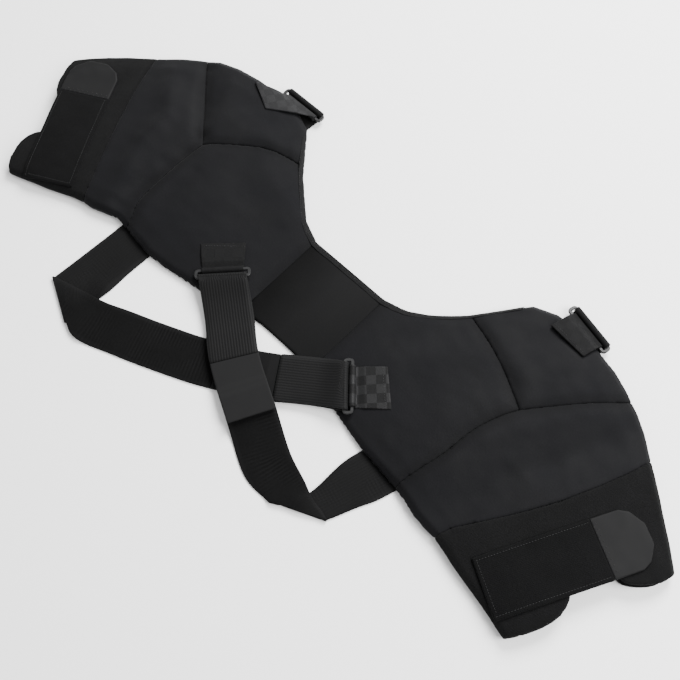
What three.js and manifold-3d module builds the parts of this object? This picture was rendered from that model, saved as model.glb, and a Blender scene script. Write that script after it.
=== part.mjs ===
// A double shoulder brace lying flat with its outer face up: two shoulders of padded
// stretch fabric joined by a bridge across the neck, with two crossing elastic straps.
// +X runs to the wearer's right arm, +Y to the neckline and +Z up from the table.
import * as THREE from "three";
import { mergeVertices } from "three/addons/utils/BufferGeometryUtils.js";
import Module from "manifold-3d";

const wasm = await Module();
wasm.setup();

// Driving sizes in millimetres
const armReach = 454; // neck middle to the far corner of a cuff
const frontRise = 183; // neck axis up to the top of a front panel
const hemDrop = 115; // neck axis down to the lowest point of the hem
const bridgeHalf = 52; // neck middle to the bridge's seam
const wall = 3; // padded fabric
const seamGap = 0.4; // between two panels at a seam
const tubeHeight = 17; // a sleeve lying flat, over both its walls
const strapWidth = 53; // elastic cross straps
const strapThick = 1.6;
const hookThick = 2.2; // hook tabs at the straps' ends
const crossTabLength = 67;
const armStrapWidth = 61;
const armStrapThick = 2;
const armStrapLength = 120; // its pile part
const armTabLength = 50;
const armTabRound = 22; // its corner radius
const webbingWidth = 46; // tabs that carry the rings
const webbingThick = 1.4;
const ringBar = 3.6; // a ring's bar seen from above
const ringDepth = 2.8; // a ring's bar from below to above
const ringSideGap = 0.8; // between a ring's end and a strap's edge
const barGap = 0.6; // between a bar and what is looped round it
const layerGap = 0.35; // between two layers that lie on each other
const foldGap = 1; // inside a strap's fold
const bindingWidth = 7;
const bindingThick = 0.9;
const notchDepth = 46; // slit in a cuff's end, under the arm strap
const underInset = 0.003; // share of the width that an under wall stays inside a fold
const loopSeat = 0.1; // how far a strip's skin lies inside the loop that it joins
const loopLap = 0.4; // how far a half loop reaches back into the runs it joins
const strapSlope = 0.32; // steepest rise of a cross strap

// Sizes that follow
const loopInner = Math.hypot(ringBar, ringDepth) / 2 - 0.25 + barGap / 2;
const strapLoop = loopInner + strapThick;
const webbingLoop = loopInner + webbingThick;
const ringPitch = strapLoop + webbingLoop + layerGap;
const underPass = strapThick + layerGap;

// Sections of the body from the neck's middle to the cuff's end. frontX and hemX are
// shares of armReach, frontY of frontRise, hemY of hemDrop. swell is a share of the
// rise from one wall to the whole tube, lift of the pass under a panel's edge, and
// tube tells how far the section is a flattened tube.
const columns = ["frontX", "frontY", "hemX", "hemY", "swell", "lift", "tube"];
const sections = {
  right: [
    [0, 0.361, 0, -0.391, 0, 0, 0],
    [0.057, 0.361, 0.057, -0.395, 0.02, 0, 0],
    [0.115, 0.361, 0.115, -0.426, 0.07, 0, 0],
    [0.176, 0.4, 0.176, -0.487, 0.25, 0.1, 0],
    [0.229, 0.483, 0.229, -0.539, 0.39, 0.3, 0],
    [0.286, 0.612, 0.286, -0.591, 0.5, 0.7, 0],
    [0.341, 0.787, 0.341, -0.635, 0.64, 1.1, 0],
    [0.392, 0.94, 0.396, -0.661, 0.79, 1.3, 0],
    [0.452, 0.983, 0.447, -0.685, 0.9, 1.3, 0.15],
    [0.518, 0.967, 0.489, -0.72, 0.96, 1.3, 0.6],
    [0.577, 0.95, 0.529, -0.765, 1, 1.3, 1],
    [0.639, 0.907, 0.566, -0.774, 1, 1.3, 1],
    [0.689, 0.852, 0.595, -0.783, 1, 1.3, 1],
    [0.738, 0.787, 0.628, -0.817, 1, 1.3, 1],
    [0.775, 0.721, 0.661, -0.852, 1, 1.3, 1],
    [0.815, 0.634, 0.694, -0.878, 1, 1.3, 1],
    [0.852, 0.563, 0.727, -0.904, 1, 1.3, 1],
    [0.89, 0.481, 0.758, -0.93, 1, 1.3, 1],
    [0.927, 0.399, 0.786, -0.957, 1, 1.3, 1],
    [0.965, 0.317, 0.808, -0.983, 1, 1.3, 1],
    [1, 0.23, 0.828, -1, 1, 1.3, 1],
  ],
  left: [
    [0, 0.361, 0, -0.391, 0, 0, 0],
    [0.057, 0.361, 0.057, -0.395, 0.02, 0, 0],
    [0.115, 0.361, 0.115, -0.426, 0.07, 0, 0],
    [0.176, 0.425, 0.176, -0.496, 0.25, 0.1, 0],
    [0.22, 0.522, 0.229, -0.557, 0.39, 0.3, 0],
    [0.275, 0.645, 0.286, -0.591, 0.5, 0.7, 0],
    [0.324, 0.788, 0.341, -0.626, 0.64, 1.1, 0],
    [0.366, 0.905, 0.396, -0.643, 0.79, 1.3, 0],
    [0.423, 0.951, 0.447, -0.617, 0.9, 1.3, 0.15],
    [0.496, 0.962, 0.489, -0.595, 0.96, 1.3, 0.6],
    [0.577, 0.945, 0.524, -0.59, 1, 1.3, 1],
    [0.634, 0.915, 0.562, -0.645, 1, 1.3, 1],
    [0.689, 0.862, 0.595, -0.69, 1, 1.3, 1],
    [0.733, 0.772, 0.628, -0.705, 1, 1.3, 1],
    [0.771, 0.697, 0.661, -0.75, 1, 1.3, 1],
    [0.811, 0.607, 0.694, -0.81, 1, 1.3, 1],
    [0.848, 0.533, 0.727, -0.86, 1, 1.3, 1],
    [0.885, 0.453, 0.758, -0.9, 1, 1.3, 1],
    [0.917, 0.374, 0.784, -0.94, 1, 1.3, 1],
    [0.944, 0.3, 0.806, -0.97, 1, 1.3, 1],
    [0.967, 0.23, 0.824, -0.995, 1, 1.3, 1],
  ],
};

// Plan lines: x as a share of armReach, y as one of frontRise above the axis and of
// hemDrop below it.
const lines = {
  right: {
    // neckline to the meeting of the seams on top of the shoulder
    yoke: [[0.2, 0.75], [0.275, 0.645], [0.319, 0.607], [0.377, 0.557], [0.449, 0.475], [0.53, 0.361]],
    // that meeting down to the hem
    back: [[0.53, 0.361], [0.504, 0.23], [0.485, 0.077], [0.476, -0.165], [0.46, -0.426], [0.449, -0.635], [0.441, -1.05]],
    // that meeting up to the front edge
    front: [[0.53, 0.361], [0.575, 0.492], [0.634, 0.661], [0.689, 0.803], [0.75, 0.97]],
    // start of the under wall in the armpit
    armpit: [[0.525, -1.2], [0.54, -0.77], [0.56, 0], [0.6, 0.42], [0.652, 0.65], [0.705, 0.8], [0.8, 1.05]],
    // start of the loop field on the cuff
    field: [[0.571, -1], [0.588, -0.696], [0.659, -0.278], [0.729, 0.109], [0.791, 0.454], [0.811, 0.607], [0.835, 0.8]],
    lobeLow: [[0.815, -1.12], [0.828, -1], [0.853, -0.85], [0.874, -0.67], [0.881, -0.53], [0.872, -0.39], [0.848, -0.3]],
    lobeHigh: [[0.9, 0.02], [0.925, 0.008], [0.945, 0.027], [0.969, 0.077], [0.987, 0.137], [0.998, 0.213], [1.01, 0.33]],
  },
  left: {
    yoke: [[0.18, 0.82], [0.25, 0.705], [0.291, 0.678], [0.339, 0.65], [0.399, 0.585], [0.465, 0.459], [0.518, 0.35]],
    back: [[0.518, 0.35], [0.521, 0.202], [0.518, -0.017], [0.511, -0.313], [0.485, -0.557], [0.46, -1]],
    front: [[0.518, 0.35], [0.59, 0.53], [0.645, 0.665], [0.694, 0.792], [0.75, 0.95]],
    armpit: [[0.525, -1.1], [0.54, -0.6], [0.56, 0], [0.6, 0.42], [0.66, 0.65], [0.71, 0.79], [0.8, 1.0]],
    field: [[0.6, -0.95], [0.619, -0.678], [0.683, -0.174], [0.753, 0.251], [0.802, 0.552], [0.83, 0.75]],
    lobeLow: [[0.812, -1.1], [0.824, -0.991], [0.844, -0.904], [0.861, -0.722], [0.863, -0.61], [0.852, -0.5], [0.83, -0.43]],
    lobeHigh: [[0.872, -0.02], [0.886, -0.1], [0.908, -0.07], [0.93, 0.003], [0.95, 0.09], [0.962, 0.17], [0.966, 0.24], [0.972, 0.34]],
  },
};

// Places of the rings: the middle, and the way that the ring's tab runs from it, as an
// angle in degrees from +X on the right side and from -X on the left one.
const ringPlaces = {
  right: { back: [0.211, -0.304, 43], front: [0.517, 1.03, 256.7] },
  left: { back: [0.21, -0.304, 43], front: [0.42, 1.012, 270] },
};
const sides = { right: 1, left: -1 };

const V2 = (x, y) => new THREE.Vector2(x, y);
const mix = (a, b, t) => a + (b - a) * t;

// A plan point from its shares
function plan([xs, ys]) {
  return V2(xs * armReach, ys * (ys > 0 ? frontRise : hemDrop));
}

function smooth(points, count) {
  return new THREE.SplineCurve(points).getPoints(count);
}

// A plan line moved to its own left by a distance
function shifted(points, distance) {
  return points.map((p, i) => {
    const before = points[Math.max(i - 1, 0)];
    const after = points[Math.min(i + 1, points.length - 1)];
    const way = after.clone().sub(before).normalize();
    return V2(p.x - way.y * distance, p.y + way.x * distance);
  });
}

// Solids from three.js geometries and back
function solid(geometry) {
  const bare = geometry.clone();
  bare.deleteAttribute("normal");
  bare.deleteAttribute("uv");
  const merged = mergeVertices(bare, 1e-4);
  return new wasm.Manifold(
    new wasm.Mesh({
      numProp: 3,
      vertProperties: Float32Array.from(merged.attributes.position.array),
      triVerts: Uint32Array.from(merged.index.array),
    }),
  );
}

function geometryOf(body) {
  const mesh = body.getMesh();
  const geometry = new THREE.BufferGeometry();
  geometry.setAttribute("position", new THREE.BufferAttribute(mesh.vertProperties, 3));
  geometry.setIndex(new THREE.BufferAttribute(mesh.triVerts, 1));
  geometry.computeVertexNormals();
  return geometry;
}

// A closed solid between two grids of points, upper and lower
function slab(upper, lower) {
  const rows = upper.length;
  const cols = upper[0].length;
  const position = [];
  for (const grid of [upper, lower])
    for (const row of grid) for (const p of row) position.push(p.x, p.y, p.z);
  const up = (i, j) => i * cols + j;
  const down = (i, j) => rows * cols + i * cols + j;
  const index = [];
  const quad = (a, b, c, d) => index.push(a, b, c, a, c, d);
  for (let i = 0; i < rows - 1; i++)
    for (let j = 0; j < cols - 1; j++) {
      quad(up(i, j), up(i + 1, j), up(i + 1, j + 1), up(i, j + 1));
      quad(down(i, j), down(i, j + 1), down(i + 1, j + 1), down(i + 1, j));
    }
  for (let i = 0; i < rows - 1; i++) {
    quad(up(i, 0), down(i, 0), down(i + 1, 0), up(i + 1, 0));
    quad(up(i, cols - 1), up(i + 1, cols - 1), down(i + 1, cols - 1), down(i, cols - 1));
  }
  for (let j = 0; j < cols - 1; j++) {
    quad(up(0, j), up(0, j + 1), down(0, j + 1), down(0, j));
    quad(up(rows - 1, j), down(rows - 1, j), down(rows - 1, j + 1), up(rows - 1, j + 1));
  }
  const geometry = new THREE.BufferGeometry();
  geometry.setAttribute("position", new THREE.Float32BufferAttribute(position, 3));
  geometry.setIndex(index);
  const body = solid(geometry);
  if (body.volume() > 0) return body;
  for (let i = 0; i < index.length; i += 3) [index[i], index[i + 1]] = [index[i + 1], index[i]];
  geometry.setIndex(index);
  return solid(geometry);
}

// The one body of a join, without the specks that meeting faces can leave
function whole(body) {
  return body.decompose().sort((a, b) => b.volume() - a.volume())[0];
}

function prism(points) {
  const geometry = new THREE.ExtrudeGeometry(new THREE.Shape(points), {
    depth: tubeHeight * 6,
    bevelEnabled: false,
  });
  geometry.translate(0, 0, -tubeHeight * 3);
  return solid(geometry);
}

// The body's surface
function section(side, s) {
  const table = sections[side];
  const i = Math.min(Math.floor(s), table.length - 2);
  const t = s - i;
  const row = {};
  columns.forEach((name, k) => {
    const before = table[Math.max(i - 1, 0)][k];
    const a = table[i][k];
    const b = table[i + 1][k];
    const after = table[Math.min(i + 2, table.length - 1)][k];
    const bend = (2 * a - 2 * b + (b - before) / 2 + (after - a) / 2) * t * t * t;
    const turn = (3 * b - 3 * a - (b - before) - (after - a) / 2) * t * t;
    row[name] = t > 1 ? mix(a, b, t) : bend + turn + ((b - before) / 2) * t + a;
  });
  const front = plan([row.frontX, row.frontY]);
  const hem = plan([row.hemX, row.hemY]);
  front.x *= sides[side];
  hem.x *= sides[side];
  const crown = wall + row.swell * (tubeHeight - wall);
  const edge = wall + row.lift * underPass;
  const rim = Math.max(mix(edge, tubeHeight / 2, row.tube), wall);
  return { front, hem, crown: Math.max(crown, rim), rim };
}

const fullness = (v) => Math.pow(4 * Math.max(v * (1 - v), 0), 0.3);

function surface(side, s, v) {
  const row = section(side, s);
  const p = row.front.clone().lerp(row.hem, v);
  const top = mix(row.rim, row.crown, fullness(v));
  const under = (row.rim - wall) * (1 - fullness(v));
  return { x: p.x, y: p.y, top, under };
}

const across = 10;
const stepsAcross = Array.from({ length: across + 1 }, (_, j) => (1 - Math.cos((Math.PI * j) / across)) / 2);

function stations(from, to, perRow) {
  const count = Math.round((to - from) * perRow);
  return Array.from({ length: count + 1 }, (_, i) => mix(from, to, i / count));
}

function shell(side, from, to, low, high, inset = 0) {
  const rows = stations(from, to, 1);
  const grid = (pick) =>
    rows.map((s) =>
      stepsAcross.map((v) => {
        const p = surface(side, s, mix(inset, 1 - inset, v));
        return new THREE.Vector3(p.x, p.y, pick(p));
      }),
    );
  return slab(grid(high), grid(low));
}

// Height of the body's top under a plan point, or null beside the body
function bodyTop(x, y) {
  const side = x >= 0 ? "right" : "left";
  const last = sections[side].length - 1;
  const off = (s) => {
    const row = section(side, s);
    const d = row.hem.clone().sub(row.front);
    return sides[side] * (d.x * (y - row.front.y) - d.y * (x - row.front.x));
  };
  for (let i = 0; i < last + 1; i++) {
    let a = i;
    let b = i + 1;
    if (off(a) < -1e-9 || off(b) > 0) continue;
    for (let k = 0; k < 24; k++) {
      const m = (a + b) / 2;
      if (off(m) > 0) a = m;
      else b = m;
    }
    const row = section(side, a);
    const d = row.hem.clone().sub(row.front);
    const v = ((x - row.front.x) * d.x + (y - row.front.y) * d.y) / d.lengthSq();
    if (v < 0 || v > 1) return null;
    return surface(side, a, v).top;
  }
  return null;
}

// Height of a laid strip's top under a plan point, or null beside it
function stripTop(strip, x, y) {
  let best = null;
  for (let i = 0; i < strip.length - 1; i++) {
    const corners = [strip[i].a, strip[i].b, strip[i + 1].b, strip[i + 1].a];
    let turn = 0;
    let inside = true;
    corners.forEach((p, k) => {
      const q = corners[(k + 1) % 4];
      const c = (q.x - p.x) * (y - p.y) - (q.y - p.y) * (x - p.x);
      if (Math.abs(c) > 1e-6 && turn * c < 0) inside = false;
      if (Math.abs(c) > 1e-6) turn = c;
    });
    if (inside) best = Math.max(best ?? 0, strip[i].top, strip[i + 1].top);
  }
  return best;
}

function restHeight(x, y, below, onBody) {
  let height = 0;
  const body = onBody ? bodyTop(x, y) : null;
  if (body !== null) height = body + layerGap;
  for (const { strip, gap } of below) {
    const top = stripTop(strip, x, y);
    if (top !== null) height = Math.max(height, top + gap);
  }
  return height;
}

// Lays a flat strip: cross lines from a to b along the way, each at the height that
// what lies below asks for, no steeper than strapSlope.
function lay(crossLines, thick, below, onBody, held = {}) {
  const strip = crossLines.map(([a, b], i) => {
    let need = 0;
    for (const part of [-0.5, -0.25, 0, 0.25, 0.5]) {
      const [c, d] = crossLines[THREE.MathUtils.clamp(i + Math.sign(part), 0, crossLines.length - 1)];
      for (let k = 0; k <= 12; k++) {
        const t = mix(-0.02, 1.02, k / 12);
        const p = a.clone().lerp(b, t).lerp(c.clone().lerp(d, t), Math.abs(part));
        need = Math.max(need, restHeight(p.x, p.y, below, onBody));
      }
    }
    return { a, b, need: Math.max(need, held[i] ?? 0), mid: a.clone().lerp(b, 0.5) };
  });
  for (const one of strip) {
    one.low = Math.max(...strip.map((o) => o.need - strapSlope * Math.max(o.mid.distanceTo(one.mid) - 5, 0)));
    one.low = Math.max(one.low, 0);
    one.top = one.low + thick;
  }
  for (const i of Object.keys(held)) {
    const at = Number(i) < 0 ? strip.length + Number(i) : Number(i);
    strip[at].low = held[i];
    strip[at].top = held[i] + thick;
  }
  return strip;
}

function stripSolid(strip) {
  const count = 2;
  const grid = (key) =>
    strip.map((one) =>
      Array.from({ length: count + 1 }, (_, k) => {
        const p = one.a.clone().lerp(one.b, k / count);
        return new THREE.Vector3(p.x, p.y, one[key]);
      }),
    );
  return slab(grid("top"), grid("low"));
}

// Cross lines of a strip of one width along a curved middle line
const turning = 5; // cross lines over which a strip turns to meet a ring or a crease
function crossLinesOf(middle, width, count, firstTurn = null, lastTurn = null) {
  const points = smooth(middle, count);
  return points.map((p, i) => {
    const before = points[Math.max(i - 1, 0)];
    const after = points[Math.min(i + 1, points.length - 1)];
    const way = after.clone().sub(before).normalize();
    let half = V2(-way.y, way.x).multiplyScalar(width / 2);
    const left = points.length - 1 - i;
    if (firstTurn && i < turning) half = half.lerp(firstTurn, 1 - i / turning);
    if (lastTurn && left < turning) half = half.lerp(lastTurn, 1 - left / turning);
    return [p.clone().add(half), p.clone().sub(half)];
  });
}

// A loop of webbing or strap round a bar, or half of one on the side that `way` points to
function loopRound(middle, way, width, inner, outer, height, whole) {
  const shape = new THREE.Shape();
  if (whole) {
    shape.absarc(0, 0, outer, 0, Math.PI * 2);
    const hole = new THREE.Path();
    hole.absarc(0, 0, inner, 0, Math.PI * 2, true);
    shape.holes.push(hole);
  } else {
    shape.moveTo(-loopLap, -outer);
    shape.absarc(0, 0, outer, -Math.PI / 2, Math.PI / 2);
    shape.lineTo(-loopLap, outer);
    shape.lineTo(-loopLap, inner);
    shape.absarc(0, 0, inner, Math.PI / 2, -Math.PI / 2, true);
    shape.lineTo(-loopLap, -inner);
    shape.lineTo(-loopLap, -outer);
  }
  const geometry = new THREE.ExtrudeGeometry(shape, { depth: width, bevelEnabled: false, curveSegments: 6 });
  geometry.translate(0, 0, -width / 2);
  const x = new THREE.Vector3(way.x, way.y, 0);
  const y = new THREE.Vector3(0, 0, 1);
  const z = new THREE.Vector3().crossVectors(x, y);
  const matrix = new THREE.Matrix4().makeBasis(x, y, z);
  matrix.setPosition(middle.x, middle.y, height);
  geometry.applyMatrix4(matrix);
  return solid(geometry);
}

function ringSolid(ring) {
  const long = strapWidth / 2 + ringSideGap;
  const short = ringPitch / 2 - ringBar / 2;
  const outline = (target, x, y, r) => {
    target.moveTo(-x + r, -y);
    target.lineTo(x - r, -y);
    target.absarc(x - r, -y + r, r, -Math.PI / 2, 0);
    target.absarc(x - r, y - r, r, 0, Math.PI / 2);
    target.absarc(-x + r, y - r, r, Math.PI / 2, Math.PI);
    target.absarc(-x + r, -y + r, r, Math.PI, Math.PI * 1.5);
    return target;
  };
  const bevel = ringBar / 6;
  const shape = outline(new THREE.Shape(), long + ringBar - bevel, short + ringBar - bevel, ringBar);
  shape.holes.push(outline(new THREE.Path(), long + bevel, short + bevel, ringBar / 4));
  const geometry = new THREE.ExtrudeGeometry(shape, {
    depth: ringDepth - 2 * bevel,
    bevelThickness: bevel,
    bevelSize: bevel,
    bevelSegments: 1,
    curveSegments: 2,
  });
  geometry.translate(0, 0, -(ringDepth - 2 * bevel) / 2);
  geometry.rotateZ(Math.atan2(ring.way.y, ring.way.x) - Math.PI / 2);
  geometry.translate(ring.middle.x, ring.middle.y, ring.height);
  return geometry;
}

function ringAt(side, where) {
  const [xs, ys, degrees] = ringPlaces[side][where];
  const middle = plan([xs, ys]);
  const angle = THREE.MathUtils.degToRad(degrees);
  const way = V2(Math.cos(angle) * sides[side], Math.sin(angle));
  middle.x *= sides[side];
  const along = V2(-way.y, way.x);
  let rest = 0;
  if (where === "back")
    for (let i = -4; i <= 4; i++)
      for (let j = -4; j <= 4; j++) {
        const p = middle.clone().addScaledVector(along, (i * strapWidth) / 7).addScaledVector(way, (j * ringPitch) / 3);
        rest = Math.max(rest, (bodyTop(p.x, p.y) ?? 0) + layerGap);
      }
  const height =
    where === "back" ? rest + strapLoop : Math.max(underPass + webbingLoop, tubeHeight / 2 + layerGap - loopInner) + layerGap;
  return {
    middle,
    way,
    along,
    height,
    strapBar: middle.clone().addScaledVector(way, -ringPitch / 2),
    tabBar: middle.clone().addScaledVector(way, ringPitch / 2),
  };
}

const rings = {};
for (const side of Object.keys(sides)) rings[side] = { back: ringAt(side, "back"), front: ringAt(side, "front") };

// Looks
const looks = {
  neoprene: { color: "#25252a", roughness: 0.78, metalness: 0 },
  bridge: { color: "#272727", roughness: 0.85, metalness: 0 },
  loop: { color: "#1c1c1d", roughness: 0.97, metalness: 0 },
  hook: { color: "#303033", roughness: 0.55, metalness: 0 },
  elastic: { color: "#28282a", roughness: 0.75, metalness: 0 },
  webbing: { color: "#2c2c2f", roughness: 0.6, metalness: 0 },
  plastic: { color: "#3a3a3e", roughness: 0.35, metalness: 0 },
};
const brace = new THREE.Group();
function piece(name, body, look) {
  const geometry = body instanceof THREE.BufferGeometry ? body : geometryOf(body);
  const mesh = new THREE.Mesh(geometry, new THREE.MeshStandardMaterial(looks[look]));
  mesh.name = name;
  brace.add(mesh);
}

// Neck bridge, with its flat underside on the table
const farX = armReach * 1.3;
const farY = frontRise * 2;
const halfGap = seamGap / 2;
{
  const rows = [3, 2.5, 2, 1, 0].map((s) => ["left", s]).concat([1, 2, 2.5, 3].map((s) => ["right", s]));
  const grid = (pick) =>
    rows.map(([side, s]) =>
      stepsAcross.map((v) => {
        const p = surface(side, s, v);
        return new THREE.Vector3(p.x, p.y, pick(p));
      }),
    );
  const block = slab(grid((p) => p.top), grid(() => 0));
  const x = bridgeHalf - halfGap;
  piece("neck_bridge", block.intersect(prism([V2(-x, -farY), V2(x, -farY), V2(x, farY), V2(-x, farY)])), "bridge");
}

// Panels, sleeves and cuffs
const last = sections.right.length - 1;
const cuffs = {};
const tops = {};
for (const [side, sign] of Object.entries(sides)) {
  const line = {};
  for (const [name, points] of Object.entries(lines[side])) line[name] = points.map(plan);
  const yoke = smooth(line.yoke, 12);
  const back = smooth(line.back, 14);
  const front = smooth(line.front, 12);
  const field = smooth(line.field, 10);
  const region = (points) => prism(points.map((p) => V2(p.x * sign, p.y)));
  const top = shell(side, 1, last + 0.6, (p) => Math.max(p.top - wall, 0), (p) => p.top);
  tops[side] = top;
  const under = shell(side, 8, last + 0.55, (p) => p.under, (p) => p.under + wall, underInset);

  const corner = back[0];
  const backRegion = [V2(bridgeHalf + halfGap, -farY), V2(bridgeHalf + halfGap, farY / 2), V2(line.yoke[0].x, farY / 2)];
  backRegion.push(...shifted(yoke, -halfGap).slice(0, -1));
  backRegion.push(V2(corner.x - halfGap * 1.5, corner.y - halfGap * 0.5));
  backRegion.push(...shifted(back, -halfGap).slice(1), V2(line.back.at(-1).x, -farY));
  piece(side + "_back_panel", top.intersect(region(backRegion)), "neoprene");

  const frontRegion = [V2(line.yoke[0].x, farY / 2 + 1)];
  frontRegion.push(...shifted(yoke, halfGap).slice(0, -1));
  frontRegion.push(V2(corner.x - halfGap * 0.3, corner.y + halfGap * 1.4));
  frontRegion.push(...shifted(front, halfGap).slice(1), V2(line.front.at(-1).x, farY));
  piece(side + "_front_panel", top.intersect(region(frontRegion)), "neoprene");

  const fieldBefore = shifted(field, halfGap);
  const sleeveTop = [...shifted(back, halfGap).reverse().slice(0, -1)];
  sleeveTop.push(V2(corner.x + halfGap * 1.5, corner.y - halfGap * 0.2));
  sleeveTop.push(...shifted(front, -halfGap).slice(1), V2(fieldBefore.at(-1).x, farY));
  sleeveTop.push(...fieldBefore.slice().reverse(), V2(fieldBefore[0].x, -farY));
  const sleeveUnder = [...smooth(line.armpit, 10), ...fieldBefore.slice().reverse()];
  const sleeve = top.intersect(region(sleeveTop)).add(under.intersect(region(sleeveUnder)));
  piece(side + "_sleeve", sleeve, "neoprene");

  const notchWay = line.lobeHigh[0].clone().sub(line.lobeLow.at(-1)).normalize();
  const mouth = line.lobeHigh[0].clone().lerp(line.lobeLow.at(-1), 0.5);
  const inward = V2(-notchWay.y, notchWay.x);
  const notch = [0.5, 0.22, -0.22, -0.5].map((t, i) => {
    const depth = notchDepth * (i % 3 ? 1 : 0.62);
    return mouth.clone().addScaledVector(inward, depth).addScaledVector(notchWay, -t * notchDepth * 0.5);
  });
  const fieldAfter = shifted(field, -halfGap);
  const cuffRegion = [V2(fieldAfter[0].x, -farY), ...fieldAfter, V2(fieldAfter.at(-1).x, farY)];
  cuffRegion.push(V2(farX, farY), line.lobeHigh.at(-1).clone().multiplyScalar(1.02));
  cuffRegion.push(...smooth(line.lobeHigh, 11).reverse(), ...notch.slice().reverse());
  cuffRegion.push(...smooth(line.lobeLow, 11).reverse(), V2(line.lobeLow[0].x, -farY));
  cuffs[side] = top.add(under).intersect(region(cuffRegion));
  piece(side + "_cuff", cuffs[side], "loop");
}

// Binding along the neckline
{
  const reach = 6.6;
  const rows = stations(0, reach, 2);
  const strip = [...rows.slice(1).reverse().map((s) => ["left", s]), ...rows.map((s) => ["right", s])];
  const place = (side, s, j) => {
    const row = section(side, s);
    const v = (bindingWidth / row.front.distanceTo(row.hem)) * (j / 2);
    const p = surface(side, s, v);
    return new THREE.Vector3(p.x, p.y, bodyTop(p.x, p.y) ?? p.top);
  };
  const grid = (rise) =>
    strip.map(([side, s]) =>
      [0.04, 1, 2].map((j) => {
        const p = place(side, s, j);
        p.z += rise;
        return p;
      }),
    );
  const raised = ["left", "right"].map((side) => tops[side].translate([0, 0, layerGap]));
  const band = slab(grid(layerGap + bindingThick), grid(layerGap));
  piece("neckline_binding", whole(band.subtract(raised[0]).subtract(raised[1])), "webbing");
}

// Rings and the webbing tabs that carry them
const tabEnds = {
  right: { back: [[0.244, 0.049], [0.322, -0.2]], front: [[0.45, 0.875], [0.553, 0.85]] },
  left: { back: [[0.229, 0.049], [0.308, -0.235]], front: [[0.474, 0.803], [0.555, 0.907]] },
};
for (const side of Object.keys(sides))
  for (const where of ["back", "front"]) {
    const ring = rings[side][where];
    piece(side + "_" + where + "_ring", ringSolid(ring), "plastic");
    const ends = tabEnds[side][where].map(plan);
    for (const end of ends) end.x *= sides[side];
    if (ends[0].clone().sub(ends[1]).dot(ring.along) < 0) ends.reverse();
    const starts = [1, -1].map((t) => ring.tabBar.clone().addScaledVector(ring.along, (t * webbingWidth) / 2));
    const points = stations(0, 6, 1).map((i) => ends.map((end, k) => starts[k].clone().lerp(end, i / 6)));
    const fromBelow = where === "back";
    const thick = webbingThick * 2;
    const level = loopSeat + (fromBelow ? ring.height - webbingLoop : ring.height + loopInner);
    const held = fromBelow ? { 0: level, 1: level } : { 0: level };
    const tail = lay(points, thick, [], true, held);
    for (const one of tail.slice(0, 2)) one.top = one.low + webbingThick;
    const loop = loopRound(ring.tabBar, ring.way, webbingWidth, loopInner, webbingLoop, ring.height, true);
    piece(side + "_" + where + "_tab", stripSolid(tail).add(loop), "webbing");
  }

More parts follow.
